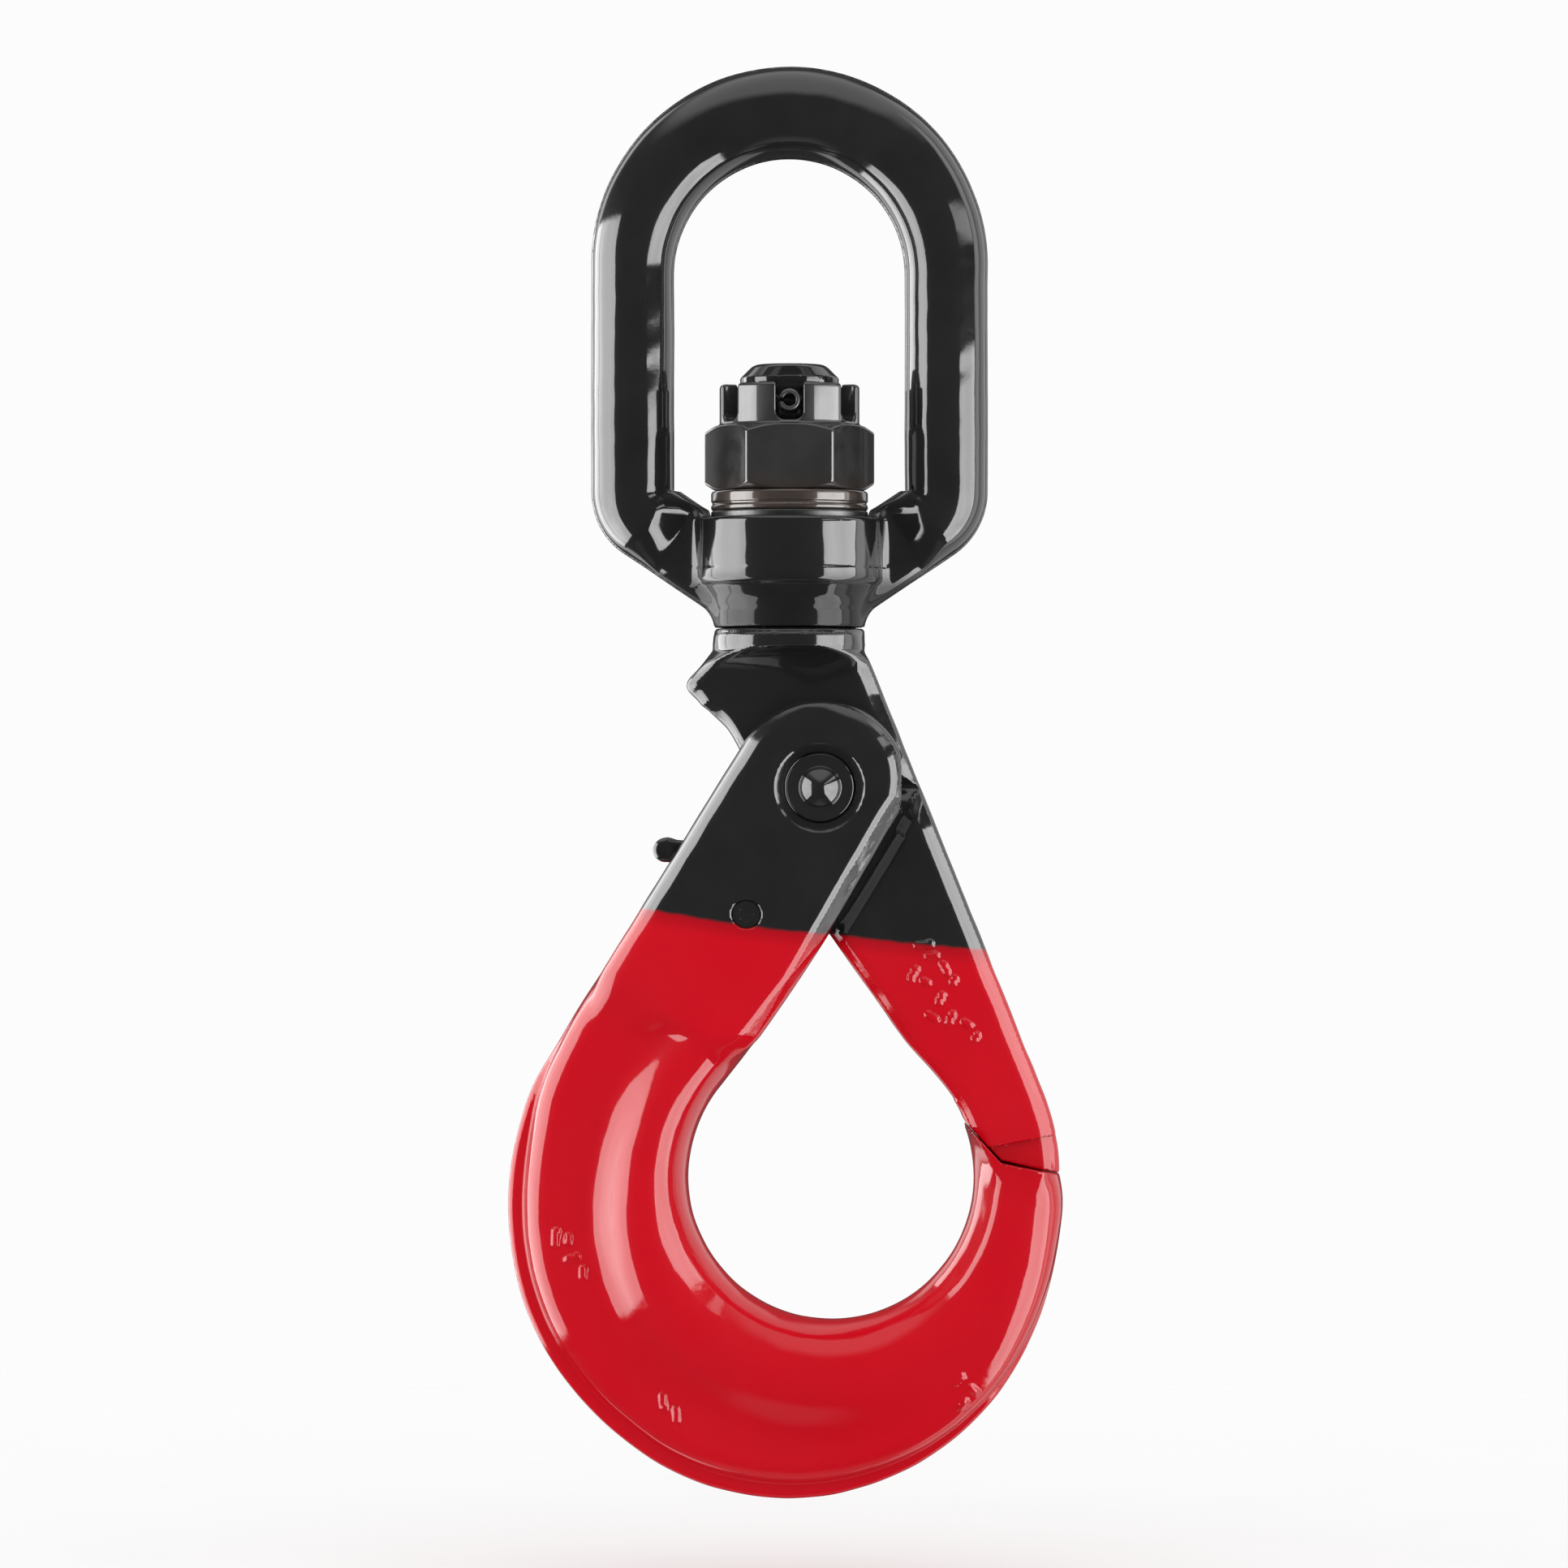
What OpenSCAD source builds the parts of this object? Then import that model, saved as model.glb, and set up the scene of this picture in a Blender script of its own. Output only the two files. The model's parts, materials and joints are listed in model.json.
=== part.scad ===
// Self-locking swivel hook for 10 mm lifting chain, in millimetres.
// +Z is up, +X is to the right and the front faces -Y.
// The origin is the load point inside the crown of the bow, on the swivel axis.

/* [Bow] */
// Clear width between the legs of the bow
bow_gap = 41.9; // [40:0.1:46]
// Width of a leg of the bow
leg_w = 15.25; // [13:0.05:17]
// Height of the crown bar above the load point
crown_w = 17; // [15:0.1:19]
// Load point down to the top face of the boss
boss_drop = 65.3; // [64.5:0.1:66]
// Height of the boss that carries the swivel
boss_h = 19.5; // [19:0.1:20]
// Radius of the boss
boss_r = 17.2; // [16.6:0.1:18.5]

/* [Swivel] */
// Diameter of the shank
shank_d = 18; // [17:0.1:18.2]
// Width across the flats of the castle nut
nut_af = 27; // [27:0.1:29]
// Diameter of a bearing ball
ball_d = 4; // [3.8:0.1:4.2]
// Number of bearing balls
ball_n = 12; // [8:1:13]
// Thickness of the washer under the nut
washer_t = 3.6; // [2:0.1:4]

/* [Hook] */
// Load pin, to the right of the swivel axis
pin_x = 5.5; // [5:0.1:6]
// Load pin, below the load point
pin_drop = 114.4; // [114:0.1:116]
// Diameter of the load pin
pin_d = 12.5; // [11:0.1:13]
// Centre of the bowl, to the right of the swivel axis
bowl_x = 7.6; // [7.2:0.1:8]
// Centre of the bowl, below the load point
bowl_drop = 185.3; // [184:0.1:187]
// Inside radius of the bowl
bowl_r = 26; // [25:0.1:26.5]
// Radius of the hook's cheeks about the load pin
cheek_r = 16; // [15:0.1:16.3]
// Thickness over the two cheeks
cheek_t = 27; // [26:0.1:28]
// Width of the slot between the cheeks
slot_w = 12.6; // [12.4:0.1:13]
// Thickness of the arm where it runs between the cheeks
arm_t = 12; // [11:0.1:12.2]
// Thickness at the meeting tips of arm and hook
tip_t = 15; // [13:0.1:17]

/* [Hidden] */

// Fits and fineness
run_gap = 0.05;
press_gap = 0.01;
eps = 0.01;
through = 60;
round_fn = 96;

// Heights of the swivel stack
boss_top = -boss_drop;
boss_bottom = boss_top - boss_h;
pocket_depth = 6;
pocket_r = 14.5;
pocket_floor = boss_top - pocket_depth;
race_t = 2.6;
race_in_r = shank_d / 2 + 0.2;
race_out_r = pocket_r - 0.2;
pitch_r = (race_in_r + race_out_r) / 2;
groove_r = ball_d / 2 + run_gap;
race_gap = 2;
ball_z = pocket_floor + race_t + race_gap / 2;
upper_race_z = ball_z + race_gap / 2;
washer_z = upper_race_z + race_t;
nut_z = washer_z + washer_t;
hex_h = 12;
crown_h = 7.4;
crown_d = 25.5;
hex_top = nut_z + hex_h;
crown_top = hex_top + crown_h;
lock_pin_d = 4;
lock_pin_z = crown_top - 3.2;
bush_r = 11;
cage_t = 1.2;

// Shank and collar of the arm
float_gap = 0.7;
collar_top = boss_bottom - float_gap;
collar_r = 13.7;
collar_h = 3.7;
shank_end_h = 3.7;
shank_end_r = 5.9;

// Centres and directions in the XZ plane
P = [pin_x, -pin_drop];
C = [bowl_x, -bowl_drop];
run = norm(P - C);
lift_angle = atan2(P[1] - C[1], P[0] - C[0]);
hook_back_a = 148.2;
hook_in_a = -38;
cheek_in_a = -30;
cheek_in_r = cheek_r - 1.1;
hub_r = 13;
arm_in_r = 14;
arm_in_gap = 0.3;
arm_in_a = lift_angle + asin((hub_r + bowl_r + arm_in_gap) / run) + 90;
arm_out_r = 17;
tip_out_r = 41.5;
arm_out_a = lift_angle + 90 + asin((tip_out_r - arm_out_r) / run) + 180;

// Neck of the arm: fillet under the collar, beak on the left and shoulder on the right
neck_r = 13.5;
beak_fillet_r = 7;
beak_tip = [-15.9, collar_top - 10.3];
beak_tip_r = 2.3;
beak_root = [-13.4, collar_top - 20.5];
beak_root_r = 3;
shoulder = [16, collar_top - 11.6];
slim_top = P[1] + 16.6;
slim_fillet = 9;
thick_top = P[1] - 30.1;
thick_taper = 5;

// Ends of the hook and of the arm, as angles about the bowl's centre
seam_in_a = 371;
seam_out_a = 362;
seam_gap = 0.4;
tongue_w = 5.2;
tongue_h = 4;

// Recess in the cheeks round the ends of the load pin
pin_recess = 1;
recess_r = pin_d / 2 + 1.75;

// Trigger, in the slot behind the load pin
T = P + [-13.3, -22.9];
trig_pin_d = 5;
knob = T + [-14.8, 11.5];
knob_r = 2.2;
notch_r = 11;
nose_r = notch_r + 0.1;
slot_floor = T[1] - 6.1;
notch_a = 203;

function at(c, r, a) = c + r * [cos(a), sin(a)];
function mix(p, q, t) = p * (1 - t) + q * t;
function unit(v) = v / norm(v);
function arc(c, r, a, b, n) = [for (i = [0:n]) at(c, r, mix(a, b, i / n))];
function ease(a, b, x) = let(t = max(0, min(1, (x - a) / (b - a)))) t * t * (3 - 2 * t);

// Ring of points between two edge points p and q of the XZ plane, with half thickness h.
// The corners are quarter ellipses that take the shares kx and ky of each half size.
corner_n = 5;
function ring(p, q, h, kx, ky) =
    let(m = (p + q) / 2, d = (q - p) / 2)
    [for (c = [0:3], i = [0:corner_n])
        let(a = 90 * (c + i / corner_n),
            sx = (c == 0 || c == 3) ? 1 : -1,
            sy = c < 2 ? 1 : -1,
            u = sx * (1 - kx) + kx * cos(a),
            v = sy * (1 - ky) + ky * sin(a))
        [m[0] + d[0] * u, h * v, m[1] + d[1] * u]];

// Solid through a row of rings that all have the same number of points
module loft(rings) {
    n = len(rings[0]);
    last = len(rings) - 1;
    points = [for (r = rings, p = r) p];
    sides = [for (k = [0:last - 1], j = [0:n - 1])
        let(a = k * n + j, b = k * n + (j + 1) % n)
        each [[a, a + n, b + n], [a, b + n, b]]];
    start = [[for (j = [0:n - 1]) j]];
    end = [[for (j = [n - 1:-1:0]) last * n + j]];
    polyhedron(points, concat(sides, start, end), convexity = 8);
}

// Extrudes an outline drawn in XZ to the thickness t, centred on Y = 0
module plate(t) {
    rotate([90, 0, 0])
        linear_extrude(t, center = true)
            children();
}

// Cylinder along Y, centred on the point p of the XZ plane
module bar_y(p, r, len) {
    translate([p[0], 0, p[1]])
        rotate([90, 0, 0])
            cylinder(h = len, r = r, center = true, $fn = round_fn);
}

// Bar of the bow, from inside the boss up one leg, over the crown and down the other
bow_in_r = bow_gap / 2;
bow_out_r = bow_in_r + leg_w;
crown_out_z = crown_w - bow_out_r;
bow_round = 0.92;
foot_in_z = boss_top + 6;
foot_in_r = 5;
foot_out_z = boss_top + 4.8;
foot_out_r = 13.8;
foot_turn = 56;
foot_swell = 0.6;
root_in = [8.5, boss_top - 1.7];
root_out = [10.5, boss_bottom + 1.8];
root_half = 8.2;
function leg_ring(side, p, q, h) = ring([side * p[0], p[1]], [side * q[0], q[1]], h, bow_round, bow_round);
function foot_rings(side) = concat(
    [leg_ring(side, root_in, root_out, root_half)],
    [for (i = [4:-1:0])
        let(a = -foot_turn * i / 4,
            p = at([bow_in_r - foot_in_r, foot_in_z], foot_in_r, a),
            q = at([bow_out_r - foot_out_r, foot_out_z], foot_out_r, a))
        leg_ring(side, p, q, leg_w / 2 + foot_swell * i / 4)]);
function bow_rings() =
    let(right = foot_rings(1), left = foot_rings(-1))
    concat(
        right,
        [for (a = [0:7.5:180])
            ring(at([0, -bow_in_r], bow_in_r, a), at([0, crown_out_z], bow_out_r, a),
                mix(leg_w, crown_w, sin(a)) / 2, bow_round, bow_round)],
        [for (i = [len(left) - 1:-1:0]) left[i]]);

module boss_blank() {
    translate([0, 0, boss_bottom])
        rotate_extrude($fn = round_fn)
            polygon([
                [0, 0], [collar_r, 0], [collar_r + 1, 2.5], [boss_r, 8],
                [boss_r, boss_h - 1.2], [boss_r - 1.2, boss_h], [0, boss_h]
            ]);
}

module swivel_bow() {
    color([0.06, 0.06, 0.07])
        difference() {
            union() {
                loft(bow_rings());
                boss_blank();
            }
            translate([0, 0, boss_bottom - 1])
                cylinder(h = boss_h + 2, r = bush_r + press_gap, $fn = round_fn);
            translate([0, 0, pocket_floor])
                cylinder(h = pocket_depth + 8, r = pocket_r, $fn = round_fn);
        }
}

module bow_bush() {
    color([0.72, 0.52, 0.25])
        translate([0, 0, boss_bottom])
            difference() {
                cylinder(h = boss_h - pocket_depth, r = bush_r, $fn = round_fn);
                translate([0, 0, -1])
                    cylinder(h = boss_h, r = shank_d / 2 + run_gap, $fn = round_fn);
            }
}

// Washer-shaped race with its ball groove cut from the plane of the balls
module race(z) {
    color([0.75, 0.76, 0.78])
        difference() {
            translate([0, 0, z])
                cylinder(h = race_t, r = race_out_r, $fn = round_fn);
            translate([0, 0, z - 1])
                cylinder(h = race_t + 2, r = race_in_r, $fn = round_fn);
            translate([0, 0, ball_z])
                rotate_extrude($fn = round_fn)
                    translate([pitch_r, 0])
                        circle(r = groove_r, $fn = 48);
        }
}

module bearing_lower_race() {
    race(pocket_floor);
}

module bearing_upper_race() {
    race(upper_race_z);
}

module ball_places() {
    for (i = [0:ball_n - 1])
        rotate([0, 0, i * 360 / ball_n])
            translate([pitch_r, 0, ball_z])
                children();
}

module bearing_balls() {
    color([0.82, 0.83, 0.85])
        ball_places()
            sphere(d = ball_d, $fn = 32);
}

module bearing_cage() {
    color([0.70, 0.56, 0.28])
        difference() {
            translate([0, 0, ball_z - cage_t / 2])
                cylinder(h = cage_t, r = race_out_r - 0.1, $fn = round_fn);
            translate([0, 0, ball_z - cage_t])
                cylinder(h = 2 * cage_t, r = race_in_r + 0.1, $fn = round_fn);
            ball_places()
                cylinder(h = 2 * cage_t, r = ball_d / 2 + 2 * run_gap, center = true, $fn = 32);
        }
}

module thrust_washer() {
    color([0.10, 0.10, 0.11])
        translate([0, 0, washer_z])
            difference() {
                rotate_extrude($fn = round_fn)
                    polygon([
                        [0, 0], [race_out_r - 0.5, 0], [race_out_r, 0.5],
                        [race_out_r, washer_t - 0.6], [race_out_r - 0.6, washer_t], [0, washer_t]
                    ]);
                translate([0, 0, -1])
                    cylinder(h = washer_t + 2, r = race_in_r, $fn = round_fn);
            }
}

module castle_nut() {
    corner_r = nut_af / 2 / cos(30);
    slot = 5;
    color([0.07, 0.07, 0.08])
        difference() {
            union() {
                intersection() {
                    translate([0, 0, nut_z])
                        cylinder(h = hex_h, r = corner_r, $fn = 6);
                    translate([0, 0, nut_z])
                        rotate_extrude($fn = round_fn)
                            polygon([
                                [0, 0], [corner_r - 1.8, 0], [corner_r, 1.2],
                                [corner_r, hex_h - 1.2], [corner_r - 1.8, hex_h], [0, hex_h]
                            ]);
                }
                translate([0, 0, hex_top - 1])
                    cylinder(h = crown_h + 1, d = crown_d, $fn = round_fn);
            }
            translate([0, 0, nut_z - 1])
                cylinder(h = hex_h + crown_h + 2, r = shank_d / 2 + press_gap, $fn = round_fn);
            for (a = [30:60:150])
                rotate([0, 0, a])
                    translate([-crown_d, -slot / 2, hex_top + 0.6])
                        cube([2 * crown_d, slot, crown_h]);
        }
}

// Rolled spring pin along Y, centred on the origin
module roll_pin(d, len) {
    wall = 0.2 * d;
    rotate([90, 0, 0])
        difference() {
            cylinder(h = len, d = d, center = true, $fn = 48);
            cylinder(h = len + 1, d = d - 2 * wall, center = true, $fn = 48);
            translate([-d, -0.09 * d, -len])
                cube([d, 0.18 * d, 2 * len]);
        }
}

module nut_lock_pin() {
    color([0.45, 0.46, 0.48])
        translate([0, 0, lock_pin_z])
            roll_pin(lock_pin_d, crown_d - 2);
}

module shank() {
    r = shank_d / 2;
    top = crown_top - collar_top;
    translate([0, 0, collar_top])
        rotate_extrude($fn = round_fn)
            polygon([
                [0, -collar_h - 4], [collar_r - 0.2, -collar_h - 4], [collar_r, -0.6],
                [collar_r - 0.6, 0], [r, 0], [r, top], [shank_end_r, top + shank_end_h],
                [0, top + shank_end_h]
            ]);
}

// Outline of the arm in XZ: neck, beak on the left, hub and the straight blade to the tip
module arm_outline() {
    polygon(concat(
        [[-neck_r, collar_top - 1]],
        arc([-neck_r - beak_fillet_r, collar_top - 2.5], beak_fillet_r, 0, -42, 3),
        arc(beak_tip, beak_tip_r, 135, 225, 4),
        arc(beak_root, beak_root_r, 45, 0, 2),
        [for (a = [163, 180, 198]) at(P, hub_r, a)],
        [at(P, arm_in_r, arm_in_a), at(C, hub_r - arm_in_r - bowl_r, arm_in_a)],
        [at(C, bowl_r + arm_in_gap, seam_in_a)],
        arc(C, tip_out_r, seam_out_a, arm_out_a, 3),
        [at(P, arm_out_r, arm_out_a), shoulder, [neck_r, collar_top - collar_h], [neck_r, collar_top - 1]]
    ));
    translate(P)
        circle(r = hub_r, $fn = round_fn);
}

// Half of the arm's side view in YZ: round neck, slim hub and a thicker end
module arm_half_side() {
    slim = arm_t / 2;
    thick = tip_t / 2;
    polygon(concat(
        [[0, collar_top], [collar_r, collar_top], [collar_r, slim_top + slim_fillet]],
        arc([slim + slim_fillet, slim_top], slim_fillet, 145, 170, 2),
        [[slim, slim_top], [slim, thick_top]],
        [[thick, thick_top - thick_taper], [thick, -bowl_drop], [0, -bowl_drop]]
    ));
}

module arm_side() {
    arm_half_side();
    mirror([1, 0])
        arm_half_side();
}

// Cone that rounds the corners of the neck under the collar
module neck_turning() {
    edge = collar_top - collar_h;
    flare = 120;
    rotate_extrude($fn = round_fn)
        polygon([
            [0, collar_top], [collar_r, collar_top], [collar_r, edge],
            [collar_r + flare, edge - flare], [0, edge - flare]
        ]);
}

// Space below the line where the tips of arm and hook meet
module seam_half(gap) {
    over = 2;
    depth = 30;
    a = at(C, bowl_r - over, seam_in_a);
    b = at(C, tip_out_r + 2 * over, seam_out_a);
    along = unit(b - a);
    up = [-along[1], along[0]];
    polygon([a + up * gap, b + up * gap, b - up * depth, a - up * depth]);
}

// Notch in the hub that the trigger's nose drops into; its left flank leans back
module nose_notch() {
    plate(arm_t + 2)
        polygon([
            at(P, notch_r, notch_a + 23), at(P, notch_r, notch_a), at(P, hub_r + 0.4, notch_a - 25),
            at(P, hub_r + 3, notch_a - 13), at(P, hub_r + 3, notch_a + 23)
        ]);
}

module hook_arm() {
    color([0.08, 0.08, 0.09])
        difference() {
            union() {
                shank();
                intersection() {
                    plate(through)
                        arm_outline();
                    rotate([90, 0, 90])
                        linear_extrude(3 * through, center = true)
                            arm_side();
                    neck_turning();
                }
            }
            bar_y(P, pin_d / 2 + run_gap, through);
            translate([0, 0, lock_pin_z])
                rotate([90, 0, 0])
                    cylinder(h = through, d = lock_pin_d + 2 * press_gap, center = true, $fn = 48);
            nose_notch();
            plate(through)
                seam_half(seam_gap);
            plate(tongue_w + 2 * seam_gap)
                seam_half(tongue_h + 2 * seam_gap);
            bar_y(C, bowl_r + arm_in_gap, through);
        }
}

// Outside radius of the hook about the bowl's centre at the angle a: the straight back runs
// on to turn_a, then the side swells to side_r and thins again towards the tip
hook_back_r = cheek_r + (P - C) * [cos(hook_back_a), sin(hook_back_a)];
turn_a = 160;
full_a = 212;
side_r = 61.1;
back_drop = side_r - hook_back_r / cos(turn_a - hook_back_a);
end_drop = 19.5;
function back_line(a) = hook_back_r / cos(a - hook_back_a);
function swell(a) = side_r - back_drop * pow((full_a - a) / (full_a - turn_a), 1.35);
function hook_out_r(a) =
    (a < turn_a ? back_line(a) : a < full_a ? swell(a) : side_r) - end_drop * ease(238, 369, a);

// Inner edge of the hook: along the cheeks, round a slight bend and on to the bowl
in_n = [cos(hook_in_a), sin(hook_in_a)];
in_r = (C - P) * in_n - bowl_r;
cheek_n = [cos(cheek_in_a), sin(cheek_in_a)];
bend = P + [cheek_in_r * in_n[1] - in_r * cheek_n[1], in_r * cheek_n[0] - cheek_in_r * in_n[0]]
    / (cheek_n[0] * in_n[1] - in_n[0] * cheek_n[1]);
bend_t = 0.6;
function in_edge(t) = t < bend_t
    ? mix(at(P, cheek_in_r, cheek_in_a), bend, t / bend_t)
    : mix(bend, at(C, -bowl_r, hook_in_a), (t - bend_t) / (1 - bend_t));

// Corner shares of the hook's section: square cheeks, then softer, then round
cheek_soft = [0.12, 0.15];
back_soft = [0.5, 0.6];
bar_soft = [0.8, 0.75];
back_half = cheek_t / 2 - 1.3;
hook_top_a = (hook_back_a + cheek_in_a) / 2;
hook_top_half = (hook_back_a - cheek_in_a) / 2;
function hook_rings() = concat(
    [for (k = [1:7])
        let(b = hook_top_half * k / 8)
        ring(at(P, cheek_r, hook_top_a - b), at(P, cheek_r, hook_top_a + b), cheek_t / 2,
            cheek_soft[0], cheek_soft[1])],
    [for (t = [0, 0.25, 0.45, bend_t, 0.8])
        let(o = mix(at(P, cheek_r, hook_back_a), at(C, hook_back_r, hook_back_a), t),
            k = mix(cheek_soft, back_soft, ease(0.5, 1, t)))
        ring(in_edge(t), o, mix(cheek_t / 2, back_half, ease(0.5, 1, t)), k[0], k[1])],
    [for (v = [0:1 / 36:1])
        let(i = at(C, bowl_r - 0.4, mix(hook_in_a + 180, seam_in_a, v)),
            a = mix(hook_back_a, seam_out_a, v),
            o = at(C, hook_out_r(a), a),
            k = mix(back_soft, bar_soft, ease(0, 0.15, v)))
        ring(i, o, mix(back_half, tip_t / 2, ease(0.45, 0.95, v)), k[0], k[1])]);

// Tongue on the hook's tip that stands in a groove of the arm, and stops the tips from
// bending apart sideways
module tip_tongue() {
    intersection() {
        plate(tongue_w)
            seam_half(tongue_h);
        plate(tongue_w)
            intersection() {
                difference() {
                    translate(C)
                        circle(r = tip_out_r - 2, $fn = round_fn);
                    translate(C)
                        circle(r = bowl_r + 1.5, $fn = round_fn);
                }
                translate(C)
                    square([2 * tip_out_r, tip_out_r]);
            }
    }
}

module hook_body() {
    color([0.80, 0.02, 0.05])
        difference() {
            union() {
                loft(hook_rings());
                tip_tongue();
            }
            bar_y(C, bowl_r, through);
            bar_y(P, pin_d / 2 + press_gap, through);
            bar_y(T, trig_pin_d / 2 + press_gap, through);
            for (side = [-1, 1])
                translate([P[0], side * (cheek_t / 2), P[1]])
                    rotate([90, 0, 0])
                        cylinder(h = 2 * pin_recess, r = recess_r, center = true, $fn = round_fn);
            translate([-through, -slot_w / 2, slot_floor])
                cube([2 * through, slot_w, through]);
        }
}

module load_pin() {
    dome = 0.9;
    half = cheek_t / 2 - 0.1;
    r = pin_d / 2;
    color([0.10, 0.10, 0.11])
        translate([P[0], 0, P[1]])
            rotate([90, 0, 0])
                rotate_extrude($fn = round_fn)
                    polygon([
                        [0, -half], [r / 2, dome / 4 - half], [r - 0.6, dome - half],
                        [r, 2 * dome - half], [r, half - 2 * dome], [r - 0.6, half - dome],
                        [r / 2, half - dome / 4], [0, half]
                    ]);
}

// Trigger: pivot boss, nose up to the hub's notch and lever out to the thumb knob
trig_t = 11.4;
trig_web = 4;
boss_trig_r = 4.6;
module trigger() {
    color([0.12, 0.12, 0.13])
        difference() {
            union() {
                plate(trig_t)
                    union() {
                        polygon([
                            at(P, nose_r, notch_a + 1), at(P, nose_r, notch_a + 8), T + [2.6, 7],
                            T + [-6, 6.5], at(P, nose_r + 5.9, notch_a + 1),
                            at(P, nose_r + 4.4, notch_a - 4)
                        ]);
                        polygon([
                            T + [-1.5, 12.5], T + [-1.5, 6.5], T + [-6, 6.5],
                            knob + [0.6, -2], knob + [0.4, 2.1]
                        ]);
                    }
                bar_y(knob, knob_r, trig_t);
                translate([0, -(trig_t - trig_web) / 2, 0])
                    plate(trig_web)
                        union() {
                            translate(T)
                                circle(r = boss_trig_r, $fn = 48);
                            polygon([T + [2.6, 8], T + [4.5, 0.5], T + [-4.5, 0.5], T + [-6, 7]]);
                        }
            }
            bar_y(T, trig_pin_d / 2 + run_gap, through);
        }
}

module trigger_pin() {
    color([0.45, 0.46, 0.48])
        translate([T[0], 0, T[1]])
            roll_pin(trig_pin_d, cheek_t - 1.4);
}

// Torsion spring: three turns round the trigger pin, then two straight legs
wire_r = 0.5;
coil_r = 3.45;
coil_turns = 3;
coil_y = 0.3;
coil_pitch = 1.35;
floor_leg = 4.6;
lever_leg = 12;
floor_leg_a = -20;
lever_leg_a = 69.9;
function coil_path() =
    let(a0 = floor_leg_a, a1 = lever_leg_a + 360 * coil_turns,
        s = at([0, 0], coil_r, a0),
        e = at([0, 0], coil_r, a1),
        y1 = coil_y + coil_pitch * (a1 - a0) / 360)
    concat(
        [[s[0] + floor_leg * sin(a0), coil_y, s[1] - floor_leg * cos(a0)]],
        [for (a = [a0:(a1 - a0) / 52:a1 + eps])
            [coil_r * cos(a), coil_y + coil_pitch * (a - a0) / 360, coil_r * sin(a)]],
        [[e[0] - lever_leg * sin(a1), y1, e[1] + lever_leg * cos(a1)]]);

function wire_ring(p, t, r) =
    let(u = unit(cross(t, [0, 1, 0])), v = cross(u, t))
    [for (j = [0:7]) p + r * (cos(45 * j) * u + sin(45 * j) * v)];

module trigger_spring() {
    path = coil_path();
    last = len(path) - 1;
    color([0.62, 0.63, 0.65])
        translate([T[0], 0, T[1]])
            loft([for (k = [0:last])
                wire_ring(path[k], unit(path[min(last, k + 1)] - path[max(0, k - 1)]), wire_r)]);
}

swivel_bow();
bow_bush();
bearing_lower_race();
bearing_balls();
bearing_cage();
bearing_upper_race();
thrust_washer();
castle_nut();
nut_lock_pin();
hook_arm();
hook_body();
load_pin();
trigger();
trigger_pin();
trigger_spring();
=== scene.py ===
import json
import math
import bpy
import numpy as np
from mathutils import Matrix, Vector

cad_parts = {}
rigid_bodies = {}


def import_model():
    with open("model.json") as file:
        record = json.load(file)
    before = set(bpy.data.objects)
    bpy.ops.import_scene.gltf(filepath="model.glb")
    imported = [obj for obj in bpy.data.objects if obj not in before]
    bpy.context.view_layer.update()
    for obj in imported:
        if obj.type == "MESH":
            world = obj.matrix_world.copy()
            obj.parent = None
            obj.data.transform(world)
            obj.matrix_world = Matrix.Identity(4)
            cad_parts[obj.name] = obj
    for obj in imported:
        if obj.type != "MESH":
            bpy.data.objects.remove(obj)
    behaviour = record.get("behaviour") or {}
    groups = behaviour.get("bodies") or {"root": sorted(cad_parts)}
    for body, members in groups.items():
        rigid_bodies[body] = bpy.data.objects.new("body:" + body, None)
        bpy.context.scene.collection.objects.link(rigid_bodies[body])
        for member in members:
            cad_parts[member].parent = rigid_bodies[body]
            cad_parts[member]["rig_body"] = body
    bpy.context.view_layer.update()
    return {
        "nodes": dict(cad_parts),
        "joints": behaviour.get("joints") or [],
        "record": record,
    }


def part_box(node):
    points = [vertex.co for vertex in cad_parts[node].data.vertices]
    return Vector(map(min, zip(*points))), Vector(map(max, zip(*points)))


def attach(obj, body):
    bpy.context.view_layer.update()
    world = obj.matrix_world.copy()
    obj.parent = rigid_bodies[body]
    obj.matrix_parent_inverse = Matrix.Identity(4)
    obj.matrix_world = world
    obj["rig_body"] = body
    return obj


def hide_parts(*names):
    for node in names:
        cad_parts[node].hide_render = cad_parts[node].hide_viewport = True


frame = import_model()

import openvdb

# Self-locking swivel hook. The forgings are level sets of distance fields, written in
# millimetres in the frame of the CAD part: +Z up, +X right, front at -Y.
MM = 0.001
CELL = 0.5  # edge of a grid cell in mm

JOINTS = {j["name"]: j for j in frame["joints"]}
MOUNTS = {m["name"]: m for m in frame["record"]["mounts"]}


def in_xz(pos):
    """(x, z) in millimetres of a point in metres"""
    return np.array([pos[0], pos[2]]) / MM


def box_mm(node):
    low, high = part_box(node)
    return np.array(low) / MM, np.array(high) / MM


# Axes across the hook: load pin P, trigger pin T and the bowl's centre C
P = in_xz(JOINTS["hook_open"]["pos_m"])
T = in_xz(JOINTS["trigger_release"]["pos_m"])
C = in_xz(MOUNTS["hook_bowl"]["pos_m"])
BOWL_R = MOUNTS["hook_bowl"]["dims"]["r_mm"]

# ---------------------------------------------------------------- field helpers


def ease(a, b, x):
    """0 below a, 1 above b and smooth between, also for a above b"""
    t = np.clip((x - a) / (b - a), 0, 1)
    return t * t * (3 - 2 * t)


def mix(a, b, t):
    return a + (b - a) * t


def union(a, b, r):
    """Union with a round fillet of radius r"""
    return np.maximum(np.minimum(a, b), r) - np.hypot(np.maximum(r - a, 0), np.maximum(r - b, 0))


def both(a, b, r):
    """Intersection with a round edge of radius r"""
    return np.minimum(np.maximum(a, b), -r) + np.hypot(np.maximum(r + a, 0), np.maximum(r + b, 0))


def cut(a, b, r):
    """a without b, with a round edge of radius r"""
    return both(a, -b, r)


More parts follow.
